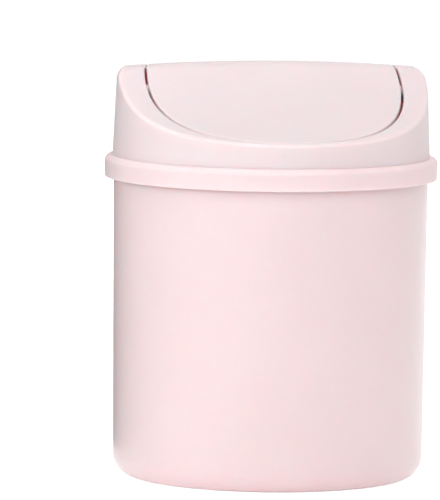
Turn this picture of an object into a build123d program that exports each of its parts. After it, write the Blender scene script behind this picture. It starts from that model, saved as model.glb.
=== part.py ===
from build123d import *
import math
import os

# Countertop trash can: a round bucket, a lift-off hood and a flap that swings in the hood.
# Millimetres. The origin is the centre of the base, +Z is up and the front faces -Y.

# ---- Bucket ----
bucket_height = 123.0  # from the table to the top of the rim
bucket_radius = 61.5  # outside of the wall at its top
bucket_draft = 0.5  # degrees, the wall narrows towards the base
bucket_wall = 1.8
bucket_floor = 2.0
foot_radius = 8.5  # rounding where the wall turns into the base
foot_land = 3.0  # width of the ring that the bucket stands on
foot_recess = 1.2  # height of the middle of the base over the table
gate_radius = 1.6  # stub of the moulding gate, in the middle of the base
gate_height = 0.6
rim_overhang = 1.5  # how far the rim stands out from the wall
rim_thickness = 1.8
rim_rounding = 0.5

# ---- Collar of the hood, which drops over the rim ----
collar_clearance = 0.3  # rim to the inside of the collar
collar_wall = 1.7
collar_drop = 5.9  # from the top of the rim down to the edge of the collar
collar_rounding = 2.3
collar_edge_rounding = 0.4
ledge_thickness = 2.6  # the ledge rests on the rim
ring_clearance = 0.3  # mouth of the bucket to the locating ring
ring_wall = 1.4
ring_drop = 6.0  # from the top of the rim down into the mouth

# ---- Side wall of the hood ----
hood_step = 3.1  # from the face of the collar in to the foot of the wall
hood_draft = 2.5  # degrees, the wall leans inwards
hood_wall = 1.8
shoulder_height = 29.5  # from the ledge up to where the shoulder starts
shoulder_radius = 5.5
shoulder_turn = 58.0  # degrees, how far the shoulder bends in before it meets the roof

# ---- Roof: a crest from side to side, with a valley that runs down to the front and back ----
lip_height = 9.15  # from the ledge to the front lip
crest_height = 36.45  # from the ledge to the top of the crest
crest_setback = 7.5  # the crest lies behind the middle
crest_radius = 11.5
valley_radius = 168.0
crown_radius = 800.0  # the roof is highest in the middle and falls off to both sides
roof_thickness = 2.0
lip_rounding = 1.5

# ---- Flap and its opening ----
opening_side_border = 11.5  # from the foot of the hood's wall in to the opening, at the sides
opening_end_border = 7.6  # the same at the front and back
flap_setforward = 4.5  # the flap and its opening lie in front of the middle
flap_gap = 1.0  # all round, between the flap and the opening
flap_rounding = 0.5
opening_rounding = 0.5
rib_inset = 6.0  # from the edge of the flap in to its stiffening rib
rib_width = 1.4
rib_depth = 3.0

# ---- Pivot: pins on the ears of the flap, snapped into cradles under the roof ----
pivot_drop = 11.2  # from the top of the crest down to the pivot axis
pivot_setforward = 3.95  # under the flap's centre of mass, so that it hangs closed
pin_radius = 2.0
pin_clearance = 0.08
pin_chamfer = 0.4
ear_inset = 1.2  # from the side edge of the flap in to the ear
ear_thickness = 2.0
ear_radius = 4.0
pin_root_radius = 2.6  # thick root of the pin, which keeps the flap in the middle
pin_root_clearance = 0.4  # root of the pin to the edge of the opening
cradle_gap = 0.2  # from the side edge of the opening out to the cradle
cradle_thickness = 2.4
cradle_border = 2.4  # material round the bore
cradle_mouth = 3.4  # width of the slot that the pin snaps through
web_thickness = 1.4

# ---- Fences on the edge of the opening, which close the gap where it crosses the crest ----
fence_clearance = 0.5  # edge of the flap to the fence
fence_root = 1.0  # how far the fence runs into the roof
fence_length = 7.0
fence_cover = 0.1  # surface of the roof to the top of the fence
fence_thickness = 0.8

# ---- Heights and radii that follow ----
ledge_top = bucket_height + ledge_thickness
mouth_radius = bucket_radius - bucket_wall
rim_radius = bucket_radius + rim_overhang
collar_inside = rim_radius + collar_clearance
collar_radius = collar_inside + collar_wall
ring_outside = mouth_radius - ring_clearance
ring_inside = ring_outside - ring_wall
hood_radius = collar_radius - hood_step
crest_top = ledge_top + crest_height
lip_top = ledge_top + lip_height
pivot_height = crest_top - pivot_drop
opening_half_width = hood_radius - opening_side_border
opening_half_depth = hood_radius - opening_end_border
flap_half_width = opening_half_width - flap_gap
flap_half_depth = opening_half_depth - flap_gap
ear_face = flap_half_width - ear_inset
cradle_face = opening_half_width + cradle_gap
cradle_back = cradle_face + cradle_thickness
cradle_radius = pin_radius + pin_clearance + cradle_border


def turned(*corners):
    """Solid of revolution about Z. Each corner of its outline is (radius, height, rounding)."""
    points = [(radius, height) for radius, height, rounding in corners]
    roundings = [rounding for radius, height, rounding in corners]
    outline = FilletPolyline(*points, radius=roundings, close=True)
    return revolve(Plane.XZ * make_face(outline), Axis.Z)


def oval(half_width, half_depth):
    """Upright oval prism round the middle of the flap, from the table to over the roof."""
    return Pos(0, -flap_setforward, 0) * extrude(Ellipse(half_width, half_depth), crest_top + crest_radius)


def across(radius, start, end):
    """Round bar along the pivot axis, from start to end on the +X side."""
    centre = Pos((start + end) / 2, -pivot_setforward, pivot_height)
    return centre * Rot(0, 90, 0) * Cylinder(radius, end - start)


def upright(radius, start, end, top):
    """Plate across the pivot axis, with a round lower end, that reaches up to a height."""
    height = top - pivot_height
    centre = Pos((start + end) / 2, -pivot_setforward, pivot_height + height / 2)
    return across(radius, start, end) + centre * Box(end - start, 2 * radius, height)


def both_sides(piece):
    """The piece and its mirror image on the other side of the can."""
    return piece + mirror(piece, Plane.YZ)


def hood_radius_at(height):
    """Outside radius of the hood's wall at a height below its shoulder."""
    return hood_radius - (height - ledge_top) * math.tan(math.radians(hood_draft))


def wall_form(inset):
    """The space within the hood's side wall, with the wall's surface moved in by inset."""
    lean = math.radians(hood_draft)
    up_wall = Vector(-math.sin(lean), math.cos(lean))
    inward = Vector(-math.cos(lean), -math.sin(lean))
    foot = Vector(hood_radius_at(bucket_height), bucket_height) + inward * inset
    shoulder_foot = Vector(hood_radius, ledge_top) + up_wall * shoulder_height + inward * inset
    shoulder = JernArc(shoulder_foot, up_wall, shoulder_radius - inset, shoulder_turn)
    end = shoulder @ 1
    heading = shoulder % 1
    tip = (0, end.Y - heading.Y / heading.X * end.X)
    outline = [Polyline(tip, (0, foot.Y), foot, shoulder_foot), shoulder, Line(end, tip)]
    return revolve(Plane.XZ * make_face(outline), Axis.Z)


def roof_form(inset):
    """Everything under the roof, with the roof's surface moved down by inset."""
    lip = Vector(-hood_radius_at(lip_top), lip_top)
    crest_centre = Vector(crest_setback, crest_top - crest_radius)
    # The valley's arc passes through the lip and runs into the crest's arc without a kink.
    span = crest_centre - lip
    reach = valley_radius + crest_radius
    along = (span.length**2 + valley_radius**2 - reach**2) / (2 * span.length)
    rise = math.sqrt(valley_radius**2 - along**2)
    direction = span.normalized()
    valley_centre = lip + direction * along + Vector(-direction.Y, direction.X) * rise
    slope = math.degrees(math.asin((crest_centre.X - valley_centre.X) / reach))
    crest = CenterArc(crest_centre, crest_radius - inset, 90 - slope, 2 * slope)
    front = JernArc(crest @ 1, crest % 1, valley_radius + inset, -slope)
    back = mirror(front, Plane.YZ.offset(crest_setback))
    base = Polyline(front @ 1, ((front @ 1).X, 0), ((back @ 1).X, 0), back @ 1)
    section = Plane.YZ * make_face([crest, front, base, back])
    crown_axis = Axis((0, 0, crest_top - crown_radius), (0, 1, 0))
    half_sweep = math.degrees(math.atan(collar_radius / (crown_radius - crest_top)))
    return revolve(section.rotate(crown_axis, -half_sweep), crown_axis, 2 * half_sweep)


def make_bucket():
    base_radius = bucket_radius - bucket_height * math.tan(math.radians(bucket_draft))
    floor_top = foot_recess + bucket_floor
    rim_bottom = bucket_height - rim_thickness
    land_inside = base_radius - foot_radius - foot_land
    shell = turned(
        (0, foot_recess, 0),
        (land_inside, foot_recess, 0),
        (land_inside, 0, 0),
        (base_radius, 0, foot_radius),
        (bucket_radius, rim_bottom, 0),
        (rim_radius, rim_bottom, rim_rounding),
        (rim_radius, bucket_height, rim_rounding),
        (mouth_radius, bucket_height, rim_rounding),
        (base_radius - bucket_wall, floor_top, foot_radius - bucket_wall),
        (0, floor_top, 0),
    )
    gate = Pos(0, 0, foot_recess - gate_height / 2) * Cylinder(gate_radius, gate_height)
    return shell + gate


def make_collar():
    ring_bottom = bucket_height - ring_drop
    collar_bottom = bucket_height - collar_drop
    return turned(
        (ring_inside, ring_bottom, collar_edge_rounding),
        (ring_outside, ring_bottom, collar_edge_rounding),
        (ring_outside, bucket_height, 0),
        (collar_inside, bucket_height, 0),
        (collar_inside, collar_bottom, collar_edge_rounding),
        (collar_radius, collar_bottom, collar_edge_rounding),
        (collar_radius, ledge_top, collar_rounding),
        (ring_inside, ledge_top, 0),
    )


def make_cradles():
    """The two snap-in cradles under the roof, each tied to the side wall by two webs."""
    plate = upright(cradle_radius, cradle_face, cradle_back, crest_top)
    web = Pos(
        (cradle_back + hood_radius) / 2,
        cradle_radius - web_thickness / 2 - pivot_setforward,
        (pivot_height - cradle_radius + crest_top) / 2,
    ) * Box(hood_radius - cradle_back, web_thickness, crest_top - pivot_height + cradle_radius)
    webs = web + mirror(web, Plane.XZ.offset(pivot_setforward))
    mouth = Pos(
        (cradle_face + cradle_back) / 2, -pivot_setforward, pivot_height - cradle_radius
    ) * Box(cradle_thickness, cradle_mouth, 2 * cradle_radius)
    return both_sides(plate + webs - mouth)


def make_fences():
    """The two fences, one at each end of the crest."""
    band = oval(opening_half_width + fence_root, opening_half_depth + fence_root) - oval(
        flap_half_width + fence_clearance, flap_half_depth + fence_clearance
    )
    strip = Pos(0, crest_setback, crest_top / 2) * Box(2 * hood_radius, fence_length, crest_top)
    return (band & strip & roof_form(fence_cover)) - roof_form(fence_cover + fence_thickness)


def make_hood():
    side = wall_form(0)
    roof = roof_form(0)
    lump = side & roof
    lump = fillet(new_edges(side, roof, combined=lump), lip_rounding)
    throat = oval(opening_half_width, opening_half_depth)
    pierced = lump - throat
    opening = [edge for edge in new_edges(lump, throat, combined=pierced) if edge.center().Z > ledge_top]
    pierced = fillet(opening, opening_rounding)
    hollow = wall_form(hood_wall) & roof_form(roof_thickness)
    cradles = make_cradles() & wall_form(hood_wall / 2) & roof_form(roof_thickness / 2)
    # The bores run in from the opening, because the roof's underside dips to the pins beside it.
    bore = across(pin_radius + pin_clearance, ear_face, cradle_back)
    return pierced - hollow + make_collar() + cradles + make_fences() - both_sides(bore)


def make_flap():
    blank = oval(flap_half_width, flap_half_depth)
    roof = roof_form(0)
    lump = blank & roof
    lump = fillet(new_edges(blank, roof, combined=lump), flap_rounding)
    rib_band = oval(flap_half_width - rib_inset, flap_half_depth - rib_inset) - oval(
        flap_half_width - rib_inset - rib_width, flap_half_depth - rib_inset - rib_width
    )
    rib = (rib_band & roof_form(roof_thickness / 2)) - roof_form(roof_thickness + rib_depth)
    ear = upright(ear_radius, ear_face - ear_thickness, ear_face, crest_top)
    root = across(pin_root_radius, ear_face, opening_half_width - pin_root_clearance)
    pin = across(pin_radius, ear_face, cradle_back)
    pin = chamfer(pin.faces().sort_by(Axis.X)[-1].edges(), pin_chamfer)
    ears = both_sides(ear & roof_form(roof_thickness / 2))
    return lump - roof_form(roof_thickness) + rib + ears + both_sides(root + pin)


os.makedirs("parts", exist_ok=True)
export_step(make_bucket(), "parts/bin_bucket.step")
export_step(make_hood(), "parts/lid_hood.step")
export_step(make_flap(), "parts/swing_flap.step")
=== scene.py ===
import math

import bpy
from mathutils import Matrix, Vector


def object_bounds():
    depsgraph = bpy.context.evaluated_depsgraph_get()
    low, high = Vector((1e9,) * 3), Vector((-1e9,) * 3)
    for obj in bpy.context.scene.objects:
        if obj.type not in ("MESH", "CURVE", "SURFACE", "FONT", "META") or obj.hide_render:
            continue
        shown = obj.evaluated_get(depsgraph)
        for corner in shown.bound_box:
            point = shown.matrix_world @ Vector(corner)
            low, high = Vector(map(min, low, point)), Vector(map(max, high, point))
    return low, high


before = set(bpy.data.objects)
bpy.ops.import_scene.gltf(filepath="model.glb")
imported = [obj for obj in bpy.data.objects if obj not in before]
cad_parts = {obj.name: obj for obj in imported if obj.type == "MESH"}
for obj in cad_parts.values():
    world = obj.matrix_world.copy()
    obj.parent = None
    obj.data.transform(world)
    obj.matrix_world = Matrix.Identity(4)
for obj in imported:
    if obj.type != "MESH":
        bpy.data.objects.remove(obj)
cad_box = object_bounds()

# Metres, in the frame of the CAD: the can stands on the origin and faces -Y.

# ---- Camera ----
IMAGE_WIDTH, IMAGE_HEIGHT = 440, 500
CAMERA_DISTANCE = 2.839  # along the floor, from the axis of the can
CAMERA_HEIGHT = 0.3725
CAMERA_AROUND = math.radians(8.6)  # how far the camera stands round to the left of the front
CAMERA_PAN = math.radians(-0.394)
CAMERA_TILT = math.radians(5.719)  # down from level
CAMERA_ROLL = math.radians(0.73)
FOCAL_PIXELS = 7305.0
CLIP_START, CLIP_END = 0.1, 20.0

# ---- World and floor ----
AMBIENT = 0.28
AMBIENT_COLOUR = (1.0, 0.985, 0.98)
WHITE = (1.0, 1.0, 1.0)
FLOOR_COLOUR = (0.95, 0.945, 0.945)
FLOOR_HALF = 4.0
FLOOR_GLOW = 0.80  # for the camera and reflections; with the light on the floor it makes white
LIGHT_BOUNCES = 10  # light goes round the inside of the pale can many times before it leaves a gap

# ---- Lamps ----
# Name, place, size, power, and whether the can reflects it. The roof, seen at a low angle, mirrors
# what stands on its far side, so a low lamp at a side or the back would burn it out to white.
LAMPS = (
    ("front", (-0.15, -1.40, 0.55), (1.0, 0.6), 8.0, True),
    ("high", (-0.10, -0.95, 1.10), (0.9, 0.6), 5.2, True),
    ("left", (-1.25, -0.15, 0.45), (0.6, 0.6), 6.0, False),
    ("right", (1.25, -0.15, 0.45), (0.6, 0.6), 1.1, False),
    ("rim", (0.95, 0.55, 0.40), (0.4, 0.6), 1.1, False),
    ("top", (0.0, 0.05, 1.3), (0.9, 0.9), 4.3, True),
    ("back", (0.20, 1.30, 0.55), (0.9, 0.6), 9.5, False),
)

# ---- Dark cards beside the can, which the camera doesn't see ----
# Name, foot from start to end, height, and whether it keeps light off. Both show in reflections.
CARDS = (
    ("flag", (-0.22, -0.01), (-0.14, 0.17), 0.13, True),
    ("dark_card", (-0.24, -0.10), (0.08, 0.28), 0.28, False),
)
CARD_COLOUR = (0.04, 0.035, 0.035)

# ---- Plastic ----
# Roughness at its least, heights of the orange peel and of the fine grain, and the distance that
# light scatters under the surface.
BUCKET_PLASTIC = {
    "colour": (0.817, 0.66, 0.672),
    "roughness": 0.30,
    "peel": 0.00004,
    "grain": 0.000004,
    "depth": 0.003,
}
LID_PLASTIC = {
    "colour": (0.865, 0.668, 0.685),
    "roughness": 0.42,
    "peel": 0.00003,
    "grain": 0.000008,
    "depth": 0.005,
}
ROUGHNESS_SPREAD = 0.06
CLOUD_DARK, CLOUD_LIGHT = 0.985, 1.01  # the colour varies between these multiples of itself
SCATTER = (1.0, 0.5, 0.45)  # red light scatters furthest
PLASTIC_IOR = 1.49
SPECULAR_LEVEL = 0.25

# Scale, detail and roughness of each noise in the plastic.
CLOUDS = (28.0, 3.0, 0.5)
SCUFFS = (160.0, 5.0, 0.65)
PEEL = (240.0, 1.0, 0.4)
GRAIN = (2600.0, 2.0, 0.5)
NOISE_LOW, NOISE_HIGH = 0.3, 0.7  # nearly all of a noise's values lie between these


class Nodes:
    """A node tree that is filled by code: add a node, set its sockets, link its inputs."""

    def __init__(self, tree):
        self.tree = tree
        tree.nodes.clear()

    def add(self, kind, inputs=None, **settings):
        node = self.tree.nodes.new("ShaderNode" + kind)
        for name, value in settings.items():
            setattr(node, name, value)
        for name, value in (inputs or {}).items():
            if isinstance(value, bpy.types.NodeSocket):
                self.tree.links.new(value, node.inputs[name])
            else:
                node.inputs[name].default_value = value
        return node


def seen_rays(nodes):
    """1 for a camera, glossy or transmission ray, which should see the white background."""
    rays = nodes.add("LightPath").outputs
    camera_or_glossy = nodes.add(
        "Math", {0: rays["Is Camera Ray"], 1: rays["Is Glossy Ray"]}, operation="MAXIMUM"
    )
    return nodes.add(
        "Math",
        {0: camera_or_glossy.outputs[0], 1: rays["Is Transmission Ray"]},
        operation="MAXIMUM",
    ).outputs[0]


def new_material(name):
    """A material, and its empty node tree to fill."""
    material = bpy.data.materials.new(name)
    material.use_nodes = True
    return material, Nodes(material.node_tree)


def new_object(name, data):
    """An object in the scene."""
    thing = bpy.data.objects.new(name, data)
    bpy.context.scene.collection.objects.link(thing)
    return thing


def staged_quad(name, corners, material):
    """Flat four-sided piece of the stage."""
    mesh = bpy.data.meshes.new(name)
    mesh.from_pydata(corners, [], [(0, 1, 2, 3)])
    mesh.materials.append(material)
    quad = new_object(name, mesh)
    return quad


def make_world():
    world = bpy.data.worlds.new("studio")
    bpy.context.scene.world = world
    world.use_nodes = True
    nodes = Nodes(world.node_tree)
    ambient = nodes.add("Background", {"Color": (*AMBIENT_COLOUR, 1.0), "Strength": AMBIENT})
    white = nodes.add("Background", {"Color": (*WHITE, 1.0), "Strength": 1.0})
    mix = nodes.add("MixShader", {0: seen_rays(nodes), 1: ambient.outputs[0], 2: white.outputs[0]})
    nodes.add("OutputWorld", {"Surface": mix.outputs[0]})


def make_floor():
    material, nodes = new_material("pale_floor")
    pale = nodes.add("BsdfDiffuse", {"Color": (*FLOOR_COLOUR, 1.0)})
    glow = nodes.add("Emission", {"Color": (*WHITE, 1.0), "Strength": FLOOR_GLOW})
    lit = nodes.add("AddShader", {0: pale.outputs[0], 1: glow.outputs[0]})
    mix = nodes.add("MixShader", {0: seen_rays(nodes), 1: pale.outputs[0], 2: lit.outputs[0]})
    nodes.add("OutputMaterial", {"Surface": mix.outputs[0]})
    near, far = -FLOOR_HALF, FLOOR_HALF
    staged_quad("floor", [(near, near, 0), (far, near, 0), (far, far, 0), (near, far, 0)], material)


def make_lamp(name, place, size, power, reflected):
    """Soft rectangular lamp that faces the middle of the can."""
    light = bpy.data.lights.new(name, "AREA")
    light.shape = "RECTANGLE"
    light.size, light.size_y = size
    light.energy = power
    lamp = new_object(name, light)
    lamp.visible_glossy = reflected
    middle = (cad_box[0] + cad_box[1]) / 2
    lamp.location = place
    lamp.rotation_euler = (middle - Vector(place)).to_track_quat("-Z", "Y").to_euler()


def make_card(name, start, end, height, shades):
    """Upright dark card that stands on the floor."""
    material, nodes = new_material(name)
    dark = nodes.add("BsdfDiffuse", {"Color": (*CARD_COLOUR, 1.0)})
    nodes.add("OutputMaterial", {"Surface": dark.outputs[0]})
    corners = [(*start, 0), (*end, 0), (*end, height), (*start, height)]
    card = staged_quad(name, corners, material)
    card.visible_camera = False
    card.visible_diffuse = shades
    card.visible_shadow = shades


def make_camera():
    data = bpy.data.cameras.new("camera")
    data.lens = FOCAL_PIXELS * data.sensor_width / max(IMAGE_WIDTH, IMAGE_HEIGHT)
    data.clip_start, data.clip_end = CLIP_START, CLIP_END
    camera = new_object("camera", data)
    place = Matrix.Translation(
        (
            -CAMERA_DISTANCE * math.sin(CAMERA_AROUND),
            -CAMERA_DISTANCE * math.cos(CAMERA_AROUND),
            CAMERA_HEIGHT,
        )
    )
    heading = Matrix.Rotation(-(CAMERA_AROUND + CAMERA_PAN), 4, "Z")
    tilt = Matrix.Rotation(math.pi / 2 - CAMERA_TILT, 4, "X")
    camera.matrix_world = place @ heading @ tilt @ Matrix.Rotation(CAMERA_ROLL, 4, "Z")
    bpy.context.scene.camera = camera


def moulded_plastic(name, colour, roughness, peel, grain, depth):
    """Moulded polypropylene: faint clouds in the colour, uneven gloss, orange peel and grain."""
    material, nodes = new_material(name)
    place = nodes.add("TexCoord").outputs["Object"]

    def noise(scale, detail, coarseness):
        settings = {"Vector": place, "Scale": scale, "Detail": detail, "Roughness": coarseness}
        return nodes.add("TexNoise", settings).outputs["Fac"]

    shades = nodes.add("ValToRGB", {"Fac": noise(*CLOUDS)})
    dark, light = shades.color_ramp.elements
    dark.position, light.position = NOISE_LOW, NOISE_HIGH
    dark.color = [c * CLOUD_DARK for c in colour] + [1.0]
    light.color = [c * CLOUD_LIGHT for c in colour] + [1.0]

    gloss = nodes.add(
        "MapRange",
        {
            "Value": noise(*SCUFFS),
            "From Min": NOISE_LOW,
            "From Max": NOISE_HIGH,
            "To Min": roughness,
            "To Max": roughness + ROUGHNESS_SPREAD,
        },
    )

    wavy = nodes.add("Bump", {"Height": noise(*PEEL), "Strength": 1.0, "Distance": peel})
    grainy = nodes.add(
        "Bump",
        {
            "Height": noise(*GRAIN),
            "Strength": 1.0,
            "Distance": grain,
            "Normal": wavy.outputs["Normal"],
        },
    )

    plastic = nodes.add(
        "BsdfPrincipled",
        {
            "Base Color": shades.outputs["Color"],
            "Roughness": gloss.outputs["Result"],
            "Normal": grainy.outputs["Normal"],
            "IOR": PLASTIC_IOR,
            "Specular IOR Level": SPECULAR_LEVEL,
            "Subsurface Weight": 1.0,
            "Subsurface Radius": SCATTER,
            "Subsurface Scale": depth,
        },
    )
    nodes.add("OutputMaterial", {"Surface": plastic.outputs[0]})
    return material


def dress(node, material):
    """Give a CAD node its material."""
    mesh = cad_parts[node].data
    mesh.materials.clear()
    mesh.materials.append(material)


dress("bin_bucket", moulded_plastic("bucket_plastic", **BUCKET_PLASTIC))
dress("lid_hood", moulded_plastic("hood_plastic", **LID_PLASTIC))
dress("swing_flap", moulded_plastic("flap_plastic", **LID_PLASTIC))

bpy.context.scene.view_settings.view_transform = "Standard"
bpy.context.scene.cycles.diffuse_bounces = LIGHT_BOUNCES
make_world()
make_floor()
for lamp in LAMPS:
    make_lamp(*lamp)
for card in CARDS:
    make_card(*card)
make_camera()
